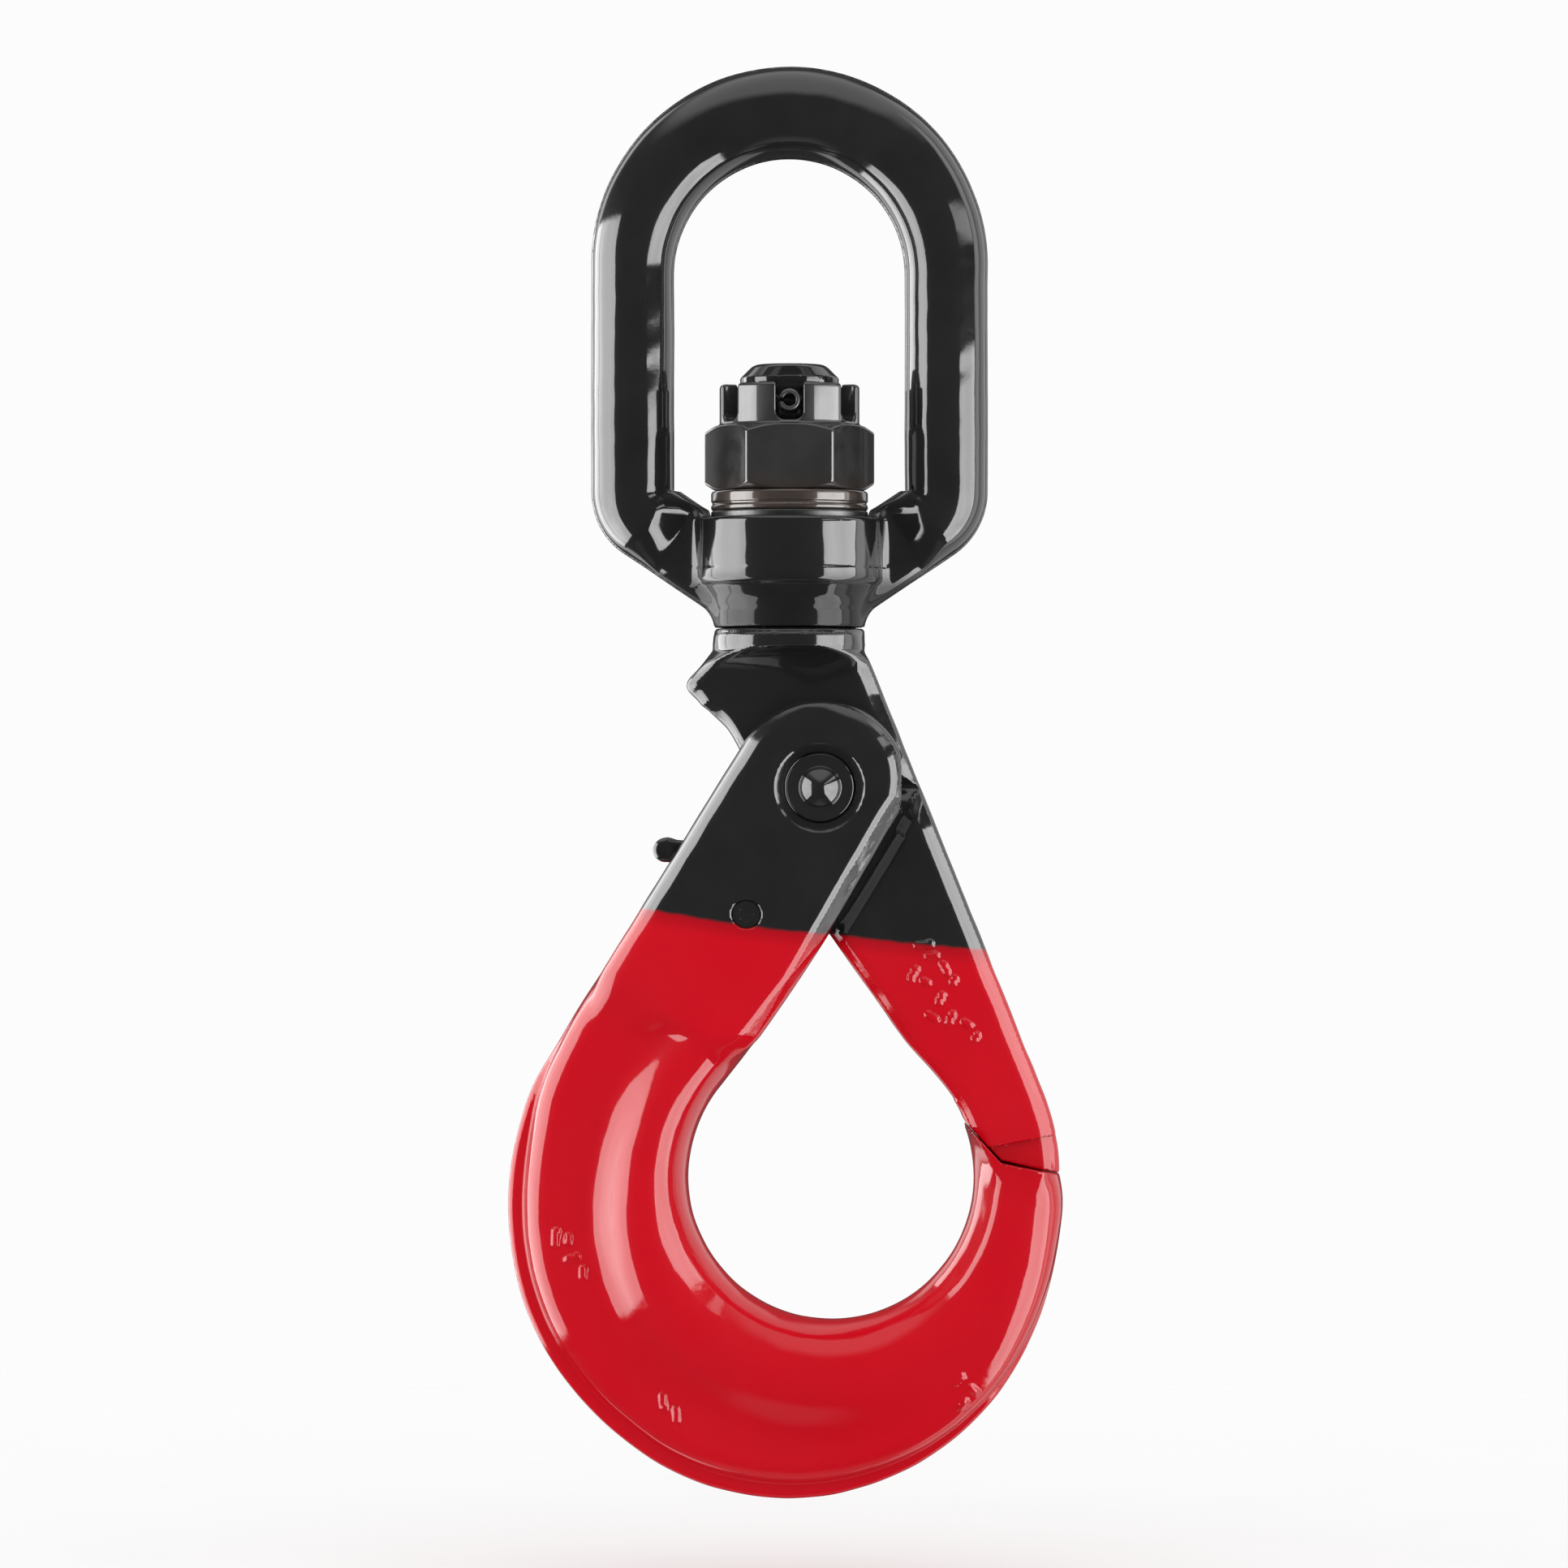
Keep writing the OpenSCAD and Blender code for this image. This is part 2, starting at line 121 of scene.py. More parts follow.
def side(x, z, c, angle, r):
    """Distance past the line at r from c whose normal points at angle degrees"""
    t = math.radians(angle)
    return (x - c[0]) * math.cos(t) + (z - c[1]) * math.sin(t) - r


def polar(x, z, c):
    """Radius about c, and angle from 45 to 405 degrees"""
    dx, dz = x - c[0], z - c[1]
    a = np.degrees(np.arctan2(dz, dx))
    return np.hypot(dx, dz), np.where(a < 45, a + 360, a)


def segment(x, z, p, q, r):
    """Distance to a round-ended bar from p to q"""
    d = np.subtract(q, p)
    t = np.clip(((x - p[0]) * d[0] + (z - p[1]) * d[1]) / (d @ d), 0, 1)
    return np.hypot(x - p[0] - t * d[0], z - p[1] - t * d[1]) - r


def ripple(x, y, z, size, seed):
    """Smooth noise of about unit height and the given wavelength"""
    rng = np.random.RandomState(seed)
    total = 0
    for k in range(6):
        d = rng.normal(size=3)
        d /= np.linalg.norm(d) * size * rng.uniform(0.7, 1.4)
        total = total + np.sin(2 * math.pi * (x * d[0] + y * d[1] + z * d[2] + rng.uniform()))
    return total / 3


# ---------------------------------------------------------------- mesh from field


def gradient(field, p, step):
    g = np.empty_like(p)
    for k in range(3):
        q = p.copy()
        q[:, k] += step
        high = field(*q.T)
        q[:, k] -= 2 * step
        g[:, k] = high - field(*q.T)
    return g / (2 * step)


def solid(name, field, low, high, cell, detail=None):
    """Mesh of field <= 0 inside the box from low to high. detail is a small offset added
    after the grid is sampled, for marks and waviness finer than a cell."""
    axes = [np.arange(a - 2 * cell, b + 3 * cell, cell) for a, b in zip(low, high)]
    shape = tuple(len(a) for a in axes)
    values = field(axes[0][:, None, None], axes[1][None, :, None], axes[2][None, None, :])
    values = np.clip(np.broadcast_to(values, shape), -4 * cell, 4 * cell)
    grid = openvdb.FloatGrid(4.0 * cell)
    grid.copyFromArray(np.ascontiguousarray(values, dtype=np.float32))
    points, quads = grid.convertToQuads(isovalue=0.0)
    p = points.astype(float) * cell + np.array([a[0] for a in axes])
    full = field if detail is None else (lambda x, y, z: field(x, y, z) - detail(x, y, z))
    for _ in range(3):
        g = gradient(full, p, 0.05)
        steep = np.maximum((g * g).sum(1), 0.1)
        move = full(*p.T) / steep
        p -= np.clip(move, -cell, cell)[:, None] * g
    normals = gradient(full, p, 0.08)
    normals /= np.maximum(np.linalg.norm(normals, axis=1), 1e-9)[:, None]
    mesh = bpy.data.meshes.new(name)
    mesh.from_pydata(p * MM, [], quads[:, ::-1] if flipped(p, quads, normals) else quads)
    mesh.shade_smooth()
    mesh.normals_split_custom_set_from_vertices(normals)
    obj = bpy.data.objects.new(name, mesh)
    bpy.context.scene.collection.objects.link(obj)
    return obj


def flipped(p, quads, normals):
    a, b, c = (p[quads[:, k]] for k in range(3))
    return (np.cross(b - a, c - a) * normals[quads[:, 0]]).sum(1).mean() < 0


# ---------------------------------------------------------------- bow
BOW_LOW, BOW_HIGH = box_mm("swivel_bow")
LEG_OUT = BOW_HIGH[0]
LEG_W = 15.25
LEG_IN = LEG_OUT - LEG_W
CROWN_Z = BOW_HIGH[2]
BOSS_TOP = -65.3
BOSS_BOTTOM = BOW_LOW[2]
BOSS_R = BOW_HIGH[1]
NECK_R = 13.7
FOOT_DIR = math.radians(34)


def bow_bar(x, y, z):
    """Bar of the bow: half round crown and two straight legs"""
    ax = np.abs(x)
    crown_c = CROWN_Z - LEG_OUT
    above = z > crown_c
    inner = np.where(z > -LEG_IN, np.hypot(ax, np.maximum(z + LEG_IN, 0)), ax) - LEG_IN
    outer = LEG_OUT - np.where(above, np.hypot(ax, np.maximum(z - crown_c, 0)), ax)
    half = (inner + outer) / 2
    half = np.clip(half, LEG_W / 2 - 0.2, 9)
    mid = (inner - outer) / 2
    return np.hypot(mid, y) - half


def bow_foot(x, y, z):
    """Turn of the leg towards the boss and the straight run into it"""
    ax = np.abs(x)
    turn_c = (LEG_OUT - 13.8, -60.5)
    r = np.hypot(ax - turn_c[0], z - turn_c[1])
    mid_r = 13.8 - LEG_W / 2
    a = np.arctan2(-(z - turn_c[1]), ax - turn_c[0])
    last = math.radians(56)
    arc = np.hypot(r - mid_r, y)
    end = (turn_c[0] + mid_r * math.cos(last), turn_c[1] - mid_r * math.sin(last))
    along = -(ax - end[0]) * math.cos(FOOT_DIR) - (z - end[1]) * math.sin(FOOT_DIR)
    across = (ax - end[0]) * math.sin(FOOT_DIR) - (z - end[1]) * math.cos(FOOT_DIR)
    drop = 0.36 * (np.hypot(along - 0.6, 1.0) - np.hypot(along - 6.4, 1.0) + 5.312)
    thin = LEG_W / 2 - drop
    flat = both(np.abs(across) - LEG_W / 2, np.abs(y) - thin, 3.0) + LEG_W / 2
    run = mix(np.hypot(across, y * LEG_W / 2 / thin), flat, ease(0, 9, along))
    start = np.hypot(ax - turn_c[0] - mid_r, y)
    d = np.where(a < 0, start, np.where(a > last, run, arc))
    return d - LEG_W / 2


def boss(x, y, z):
    """Round boss on a cone that runs down to the neck, with a lip over the swivel gap"""
    rr = np.hypot(x, y)
    wall = rr - BOSS_R + 0.2
    drum = both(wall, np.abs(z - BOSS_TOP + 6) - 6, 0.9)
    cone = (wall + np.maximum(BOSS_TOP - 11 - z, 0) * 0.66) * 0.835
    cone = both(cone, np.maximum(z - BOSS_TOP + 9, BOSS_BOTTOM + 3 - z), 0.5)
    neck = both(rr - NECK_R, np.maximum(z - BOSS_TOP + 14, BOSS_BOTTOM - 0.5 - z), 0.4)
    return union(union(drum, cone, 0.4), neck, 1.2)


def bow_field(x, y, z):
    legs = np.where(z > -60.5, bow_bar(x, y, z), bow_foot(x, y, z)) + 0.3
    flash = both(legs - 0.22, np.abs(y) - 0.7, 0.3)
    legs = union(legs, flash, 0.4)
    f = union(legs, boss(x, y, z), 2.2)
    rr = np.hypot(x, y)
    over = z - BOSS_TOP - 3
    f = cut(f, np.maximum(both(rr - 14.5, BOSS_TOP - 6 - z, 0.3), over), 0.5)
    f = cut(f, np.maximum(rr - 11.0, over), 0.3)
    return np.maximum(f, BOSS_BOTTOM - 0.5 * ease(11.2, 11.8, rr) - z)


def bow_detail(x, y, z):
    return 0.05 * ripple(x, y, z, 16, 3) + 0.02 * ripple(x, y, z, 6, 4)


# ---------------------------------------------------------------- hook body
CHEEK_R = 16.0
CHEEK_HALF = 13.5
CHEEK_IN_R = 14.9
CHEEK_IN_A = -30.0
BACK_A = 148.2
IN_A = -38.0
TURN_A = 160.0
FULL_A = 212.0
SIDE_R = 61.02
END_DROP = 20.35
RUN = math.dist(P, C)
LIFT = math.degrees(math.atan2(P[1] - C[1], P[0] - C[0]))


def unit(angle):
    return np.array([math.cos(math.radians(angle)), math.sin(math.radians(angle))])


BACK_R = CHEEK_R + float((P - C) @ unit(BACK_A))
IN_R = float((C - P) @ unit(IN_A)) - BOWL_R
BACK_DROP = SIDE_R - BACK_R / math.cos(math.radians(TURN_A - BACK_A))
SLOT_HALF = 6.3
SLOT_FLOOR = T[1] - 6.1
SEAM = (38.4, -182.3)
SEAM_GAP = 0.12


def hook_out_r(a):
    """Outside radius: the straight back, the swell at the side and the thinner end"""
    line = BACK_R / np.cos(np.radians(np.clip(a, BACK_A, 175) - BACK_A))
    swell = SIDE_R - BACK_DROP * (np.clip(FULL_A - a, 0, 80) / (FULL_A - TURN_A)) ** 1.35
    return mix(line, swell, ease(TURN_A - 10, TURN_A + 10, a)) - END_DROP * ease(238, 369, a)


def hook_sides(x, z):
    """Signed distances past the outer and the inner outline of the hook, and the angle"""
    r, a = polar(x, z, C)
    radius = hook_out_r(a)
    slope = (hook_out_r(a + 0.5) - hook_out_r(a - 0.5)) / math.radians(1) / radius
    outer = np.where(a >= BACK_A, (r - radius) / np.hypot(1, slope), side(x, z, P, BACK_A, CHEEK_R))
    edge = both(side(x, z, P, CHEEK_IN_A, CHEEK_IN_R), side(x, z, P, IN_A, IN_R), 2.5)
    inner = np.where(a >= IN_A + 180, BOWL_R - r, edge)
    return outer, inner, a


def cheek_body(x, z):
    """Outline of the hook, and how far round from the inner to the back edge a point is"""
    outer, inner, _ = hook_sides(x, z)
    b = np.degrees(np.arctan2(z - P[1], x - P[0]))
    top = (b > CHEEK_IN_A) & (b < BACK_A)
    disc = both(np.hypot(x - P[0], z - P[1]) - CHEEK_R, side(x, z, P, CHEEK_IN_A, CHEEK_IN_R), 1.0)
    back = np.where(top, (b - CHEEK_IN_A) / (BACK_A - CHEEK_IN_A), ease(-8, 8, outer - inner))
    return np.where(top, disc, np.maximum(outer, inner)), back


def hook_bar(x, y, z):
    """Bearing bulb on the inside, flange round it and the flash ridge of the forging"""
    outer, inner, a = hook_sides(x, z)
    u = -inner
    tip = ease(255, 325, a)
    half_w = 7.8 + 2.6 * ease(165, 225, a) - 2.2 * ease(280, 350, a)
    half_h = 12.4 - 3.6 * ease(235, 330, a)
    k0 = np.hypot((u - half_w) / half_w, y / half_h)
    k1 = np.hypot((u - half_w) / half_w ** 2, y / half_h ** 2)
    bulb = k0 * (k0 - 1) / np.maximum(k1, 1e-6)
    inset = half_w * 0.6 - u
    start = ease(144, 182, a)
    ridge_w = 3.1 * start - 2.1 * tip
    flange_half = 9.2 - 3 * start + 1.3 * tip
    rim = np.abs(y) - flange_half
    flange = both(both(rim, outer + ridge_w, 4.4), inset, 1.0)
    ridge = both(both(np.abs(y) - 1.9, outer, 1.3), inset, 0.5)
    return union(union(bulb, flange, 3.2), ridge, 0.9)


def hook_cheeks(x, y, z):
    """Flat cheeks: chamfered on the inside and over the top, well rounded at the back"""
    body, back = cheek_body(x, z)
    flat = np.abs(y) - CHEEK_HALF
    f = both(body, flat, 0.9 + 3.7 * ease(0.55, 1, back))
    slant = (body + flat + mix(3.5, 2.4, ease(0, 0.4, back))) * math.sqrt(0.5)
    return both(f, slant - 4 * ease(0.55, 1, back), 0.8)


def hook_tip(x, z, gap):
    """Distance past the line where the hook's tip meets the arm"""
    flat = side(x, z, SEAM, 78, -gap)
    nose = side(x, z, SEAM, 43, -gap)
    return np.minimum(flat, nose)


def tongue(x, y, z, grow):
    r, _ = polar(x, z, C)
    band = np.abs(r - BOWL_R - 7.2) - 5 - grow
    height = np.maximum(hook_tip(x, z, 0) - 3.6 - grow, z - C[1] - 10)
    return both(both(np.abs(y) - 2.6 - grow, band, 0.4), np.maximum(height, -z + C[1] - 6), 0.6)


def hook_field(x, y, z):
    q = (x + 22) * -0.371 + (z + 157) * -0.928
    outer, inner, _ = hook_sides(x, z)
    wide = 4 * ease(-18, -8, outer) + 2.5 * ease(-7, -1, inner)
    f = mix(hook_cheeks(x, y, z), hook_bar(x, y, z), ease(-1.5 - wide, 2.8 + wide, q))
    tip = np.where(x > 20, hook_tip(x, z, SEAM_GAP), -9.0)
    f = both(f, tip, 0.25)
    f = np.minimum(f, np.where(x > 20, tongue(x, y, z, 0), 9.0))
    slot = np.maximum(np.abs(y) - SLOT_HALF, SLOT_FLOOR - z)
    f = cut(f, slot, 0.7)
    rp = np.hypot(x - P[0], z - P[1])
    depth = CHEEK_HALF - np.abs(y)
    f = cut(f, np.maximum((rp - 8.3 + 1.25 * depth) * 0.62, depth - 1.6), 0.2)
    f = np.maximum(f, 6.3 - rp)
    rt = np.hypot(x - T[0], z - T[1])
    return cut(f, rt - 2.55, 0.5)


# ---------------------------------------------------------------- arm
ARM_HIGH = box_mm("hook_arm")[1]
COLLAR_TOP = -85.5
SHANK_R = 9.0
THREAD_TOP = ARM_HIGH[2] - 3.7
HUB_R = 13.0
ARM_IN_R = 14.0
ARM_IN_A = LIFT + math.degrees(math.asin((HUB_R + BOWL_R + 0.3) / RUN)) + 90
ARM_OUT_A = LIFT + 90 + math.degrees(math.asin((41.5 - 17) / RUN)) + 180 - 360
BEAK = (-19.2, -95.6)
SLIM_TOP = -97.8


def shank(x, y, z):
    rr = np.hypot(x, y)
    turn = np.arctan2(y, x) / (2 * math.pi)
    pitch = (z / 2.5 - turn) % 1.0
    groove = 0.55 * np.abs(2 * pitch - 1) * ease(-60, -59, z)
    cone = np.maximum(z - THREAD_TOP - 1.2, 0)
    end = both(rr - SHANK_R + groove * (1 - ease(-1, 0.5, z - THREAD_TOP)) + cone, z - ARM_HIGH[2], 0.7)
    collar = both(rr - NECK_R, z - COLLAR_TOP, 0.7)
    return np.minimum(end, collar)


def neck_outline(x, z):
    """Left side of the neck: column, beak and the narrower root that runs into the hub"""
    upper = np.maximum(-x - 13.4, -97 - z)
    beak = both(side(x, z, BEAK, 137, 0.2), side(x, z, BEAK, 227, 0.5), 2.2)
    root = both(-x - 10.4, side(x, z, (-10.4, -106.5), 217, 0), 3)
    return union(union(upper, beak, 3.6), root, 2.0)


def arm_outline(x, z):
    right = side(x, z, P, ARM_OUT_A, 17)
    r, a = polar(x, z, C)
    low = (a > 360) & (a < 360 + ARM_OUT_A)
    right = np.where(low, r - 41.5, right)
    t = math.radians(ARM_IN_A + 90)
    along = (x - C[0]) * math.cos(t) + (z - C[1]) * math.sin(t)
    bowl = BOWL_R + 0.3 - r
    line = side(x, z, P, ARM_IN_A, ARM_IN_R)
    left = both(bowl, np.minimum(line, -along), 2.0)
    blade = np.maximum(left, z - P[1])
    hub = np.hypot(x - P[0], z - P[1]) - HUB_R
    neck = np.maximum(neck_outline(x, z), P[1] - z)
    return both(union(union(hub, blade, 0.6), neck, 1.0), right, 0.5)


def arm_half(x, z):
    """Half thickness of the arm"""
    rise = np.clip(z - SLIM_TOP, 0, 9)
    neck = 9 - np.sqrt(np.maximum(81 - rise ** 2, 0))
    outside, _ = cheek_body(x, z)
    outside = np.where(polar(x, z, C)[1] > 371, 9.0, outside)
    return 6.0 + neck + 1.5 * ease(0.4, 4.5, outside) * ease(P[1] + 4, P[1] - 8, z)


def arm_field(x, y, z):
    rr = np.hypot(x, y)
    outline = arm_outline(x, z)
    thick = np.abs(y) - arm_half(x, z)
    right = side(x, z, P, ARM_OUT_A, 17)
    wide = 2.2 + 0.4 * ease(-7, -3, right)
    slant = outline * 0.643 + thick * 0.766 + wide * 0.643
    f = both(both(outline, thick, 1.0), slant, 0.7)
    cone = (rr - NECK_R - np.maximum(-89.2 - z, 0)) * 0.75
    f = both(f, np.maximum(cone, z + 87), 1.2)
    f = union(f, both(shank(x, y, z), -89.4 - z, 1.0), 1.2)
    far = np.where(x > 20, -hook_tip(x, z, -SEAM_GAP), -9.0)
    f = both(f, far, 0.25)
    f = np.maximum(f, -np.where(x > 20, tongue(x, y, z, 0.4), 9.0))
    rp = np.hypot(x - P[0], z - P[1])
    f = np.maximum(f, 6.3 - rp)
    b = np.degrees(np.arctan2(z - P[1], x - P[0])) % 360
    flank = 11.0 + (203 - b) * 0.08
    notch = np.maximum(np.maximum(flank - rp, np.abs(b - 203.5) - 22.5), rp - 16.5)
    return cut(f, np.where((b > 178) & (b < 228), notch, 9.0), 0.3)


# Raised forging marks: bars as (x, z, angle, length, width), none of them a letter
ARM_MARKS = [
    (24.4, -142.9, 10, 3.6, 1.2), (25.8, -144.9, 10, 2.6, 1.2), (22.4, -148.2, 62, 3.2, 1.2),
    (24.6, -149.6, 150, 2.0, 1.2), (28.2, -147.2, 118, 3.0, 1.2), (29.8, -149.4, 62, 1.8, 1.2),
    (27.4, -152.6, 62, 2.6, 1.2), (25.9, -156.0, 150, 2.8, 1.2), (29.2, -156.2, 62, 2.8, 1.2),
    (32.2, -157.2, 150, 2.4, 1.2), (33.8, -159.6, 62, 1.9, 1.2),
]
HOOK_MARKS = [
    (-42.4, -196.0, 84, 3.6, 1.2), (-40.2, -196.4, 84, 2.2, 1.2), (-39.4, -199.8, 20, 3.0, 1.2),
    (-37.4, -202.4, 84, 2.6, 1.2), (-22.9, -226.0, 100, 3.4, 1.2), (-20.6, -228.2, 100, 3.2, 1.2),
    (30.6, -221.8, 52, 2.8, 1.2), (33.2, -223.6, 142, 2.6, 1.2), (31.4, -226.4, 52, 2.4, 1.2),
]


def marks(x, y, z, bars, height):
    total = 0
    for mx, mz, angle, length, width in bars:
        t = math.radians(angle)
        step = np.array([math.cos(t), math.sin(t)]) * (length - width) / 2
        here = np.array([mx, mz])
        d = segment(x, z, here - step, here + step, width / 2)
        total = np.maximum(total, height * ease(0.35, -0.35, d))
    return total * (y < -3)


def arm_detail(x, y, z):
    lower = ease(-92, -97, z)
    fine = 0.045 * ripple(x, y, z, 13, 7) + 0.02 * ripple(x, y, z, 5, 8)
    return fine * lower + marks(x, y, z, ARM_MARKS, 0.55)


def hook_detail(x, y, z):
    away = ease(8.5, 11, np.hypot(x - P[0], z - P[1]))
    fine = 0.05 * ripple(x, y, z, 15, 11) + 0.02 * ripple(x, y, z, 6, 12)
    return fine * away + marks(x, y, z, HOOK_MARKS, 0.55)


# ---------------------------------------------------------------- swivel stack
NUT_LOW, NUT_HIGH = box_mm("castle_nut")
HEX_TOP = NUT_HIGH[2] - 7.4
CROWN_R = 12.75
NUT_FLAT = 13.5
BALL_LOW, BALL_HIGH = box_mm("bearing_balls")
BALL_Z = (BALL_LOW[2] + BALL_HIGH[2]) / 2
BALL_R = (BALL_HIGH[2] - BALL_LOW[2]) / 2
PITCH_R = BALL_HIGH[0] - BALL_R
BALLS = 12


def nut_field(x, y, z):
    rr = np.hypot(x, y)
    flats = [np.abs(x * math.cos(t) + y * math.sin(t)) - NUT_FLAT for t in np.radians((30, 90, 150))]
    prism = both(both(flats[0], flats[1], 0.35), flats[2], 0.35)
    f = both(prism, np.maximum(z - HEX_TOP, NUT_LOW[2] - z), 0.4)
    corner = NUT_FLAT / math.cos(math.pi / 6)
    for end in (z - HEX_TOP, NUT_LOW[2] - z):
        f = both(f, ((rr - corner + 2.2) * 1.4 + end * 2.2) / math.hypot(1.4, 2.2), 0.3)
    crown = both(rr - CROWN_R, np.maximum(z - NUT_HIGH[2], HEX_TOP - 2 - z), 0.7)
    f = union(f, crown, 0.5)
    for t in np.radians((30, 90, 150)):
        across = np.abs(x * math.sin(t) - y * math.cos(t)) - 2.5
        f = cut(f, both(across, HEX_TOP + 0.6 - z, 1.6), 0.45)
    mouth = 0.7 * (rr - SHANK_R - 1.0 - 0.5 * (z - NUT_HIGH[2]))
    return np.maximum(np.maximum(f, SHANK_R + 0.02 - rr), -np.maximum(mouth, NUT_HIGH[2] - 2 - z))


def ring_field(rr, z, inner, outer, low, high, soft):
    return both(both(rr - outer, np.maximum(z - high, low - z), soft), inner - rr, soft * 0.6)


def washer_field(x, y, z):
    rr = np.hypot(x, y)
    low, high = WASHER_LOW[2], WASHER_HIGH[2]
    f = ring_field(rr, z, WASHER_IN, WASHER_HIGH[0], low, high, 0.55)
    groove = np.hypot(rr - WASHER_HIGH[0] - 0.1, z - low - 1.3) - 0.35
    return cut(f, groove, 0.15)


WASHER_LOW, WASHER_HIGH = box_mm("thrust_washer")
WASHER_IN = 9.2


def race_field(low, high):
    def field(x, y, z):
        rr = np.hypot(x, y)
        f = ring_field(rr, z, WASHER_IN, high[0], low[2], high[2], 0.35)
        return cut(f, np.hypot(rr - PITCH_R, z - BALL_Z) - BALL_R - 0.05, 0.1)
    return field


def ball_offset(x, y):
    """In-plane distance to the nearest ball's axis"""
    a = np.arctan2(y, x)
    step = 2 * math.pi / BALLS
    fold = a - step * np.round(a / step)
    rr = np.hypot(x, y)
    return np.hypot(rr * np.cos(fold) - PITCH_R, rr * np.sin(fold))


def balls_field(x, y, z):
    return np.hypot(ball_offset(x, y), z - BALL_Z) - BALL_R


def cage_field(x, y, z):
    low, high = CAGE_LOW, CAGE_HIGH
    f = ring_field(np.hypot(x, y), z, WASHER_IN + 0.1, high[0], low[2], high[2], 0.3)
    return cut(f, ball_offset(x, y) - BALL_R - 0.1, 0.2)


CAGE_LOW, CAGE_HIGH = box_mm("bearing_cage")
BUSH_LOW, BUSH_HIGH = box_mm("bow_bush")


def bush_field(x, y, z):
    rr = np.hypot(x, y)
    f = ring_field(rr, z, SHANK_R + 0.05, BUSH_HIGH[0], BUSH_LOW[2], BUSH_HIGH[2], 0.6)
    turn = np.arctan2(y, x) / (2 * math.pi)
    pitch = np.abs((z - BUSH_LOW[2]) / 9.0 - turn - np.round((z - BUSH_LOW[2]) / 9.0 - turn)) * 9.0
    inside = (z > BUSH_LOW[2] + 2) & (z < BUSH_HIGH[2] - 2)
    groove = np.where(inside, np.hypot(pitch * 0.97, rr - SHANK_R) - 0.55, 1.0)
    return cut(f, groove, 0.1)


def rolled_pin(across, up, along, d, half, plug):
    """Rolled spring pin with chamfered ends. plug is the thickness of a skin of paint that
    closes the bore a little way in from each end."""
    rr = np.hypot(across, up)
    f = both(rr - d / 2, np.abs(along) - half, 0.4)
    f = np.maximum(f, 0.3 * d - rr)
    slit = np.maximum(np.abs(up) - 0.09 * d, across)
    f = cut(f, slit, 0.12)
    if plug:
        dish = np.abs(np.abs(along) - half + 0.25 - 0.5 * (rr / d) ** 2) - plug / 2
        f = union(f, both(rr - d / 2, dish, 0.15), 0.3)
    return f


LOCK_LOW, LOCK_HIGH = box_mm("nut_lock_pin")
LOCK_Z = (LOCK_LOW[2] + LOCK_HIGH[2]) / 2


def lock_pin_field(x, y, z):
    return rolled_pin(x, z - LOCK_Z, y, LOCK_HIGH[0] - LOCK_LOW[0], LOCK_HIGH[1], 0)


# ---------------------------------------------------------------- load pin and trigger
PIN_R = 6.25
BUTTON_R = 3.7
BUTTON_BASE = 12.5
TRIG_HALF = 5.7
KNOB = T + np.array([-14.8, 11.5])
KNOB_R = 2.2


def load_pin_field(x, y, z):
    rp = np.hypot(x - P[0], z - P[1])
    body = both(rp - PIN_R, np.abs(y) - BUTTON_BASE, 0.5)
    top = BUTTON_BASE + 0.5 + 2.1 * (1 - (np.clip(rp, 0.25, BUTTON_R) / BUTTON_R) ** 1.5)
    button = both((np.abs(y) - top) * 0.78, rp - BUTTON_R, 0.5)
    return union(body, button, 0.35)


def polygon(x, z, points):
    """Signed distance to a polygon"""
    d = 1e9
    inside = np.zeros(np.broadcast(x, z).shape, bool)
    last = points[-1]
    for p in points:
        d = np.minimum(d, segment(x, z, last, p, 0))
        crosses = (last[1] > z) != (p[1] > z)
        rise = p[1] - last[1] if p[1] != last[1] else 1e-9
        inside ^= crosses & (x < last[0] + (z - last[1]) * (p[0] - last[0]) / rise)
        last = p
    return np.where(inside, -d, d)


def at(c, r, angle):
    t = math.radians(angle)
    return np.array([c[0] + r * math.cos(t), c[1] + r * math.sin(t)])


NOSE = [
    at(P, 11.1, 204), at(P, 11.1, 211), T + [2.6, 7],
    T + [-6, 6.5], at(P, 17.0, 204), at(P, 15.5, 199),
]
LEVER = [T + [-1.5, 12.5], T + [-1.5, 6.5], T + [-6, 6.5], KNOB + [0.6, -1.8], KNOB + [0.4, 1.9]]
WEB = [T + [2.6, 8], T + [4.5, 0.5], T + [-4.5, 0.5], T + [-6, 7]]


def trigger_field(x, y, z):
    plate = union(polygon(x, z, NOSE), polygon(x, z, LEVER), 0.6)
    f = both(plate, np.abs(y) - TRIG_HALF, 0.7)
    knob_d = np.hypot(x - KNOB[0], z - KNOB[1]) - KNOB_R
    f = union(f, both(knob_d, np.abs(y) - TRIG_HALF, 1.0), 0.7)
    rt = np.hypot(x - T[0], z - T[1])
    web = np.minimum(polygon(x, z, WEB), rt - 4.6)
    f = union(f, both(web, np.abs(y + TRIG_HALF - 2.0) - 2.0, 0.4), 0.8)
    return cut(f, rt - 2.55, 0.2)


def trigger_pin_field(x, y, z):
    return rolled_pin(x - T[0], z - T[1], y, 5.0, 12.8, 0.5)


# Torsion spring: centre line about the trigger pin, swept to a round wire
WIRE_R = 0.5
COIL_R = 3.45
COIL_Y = 0.3
COIL_PITCH = 1.35
COIL_TURNS = 3
FLOOR_LEG = 4.6
LEVER_LEG = 12.0
FLOOR_LEG_A = -20.0
LEVER_LEG_A = 69.9


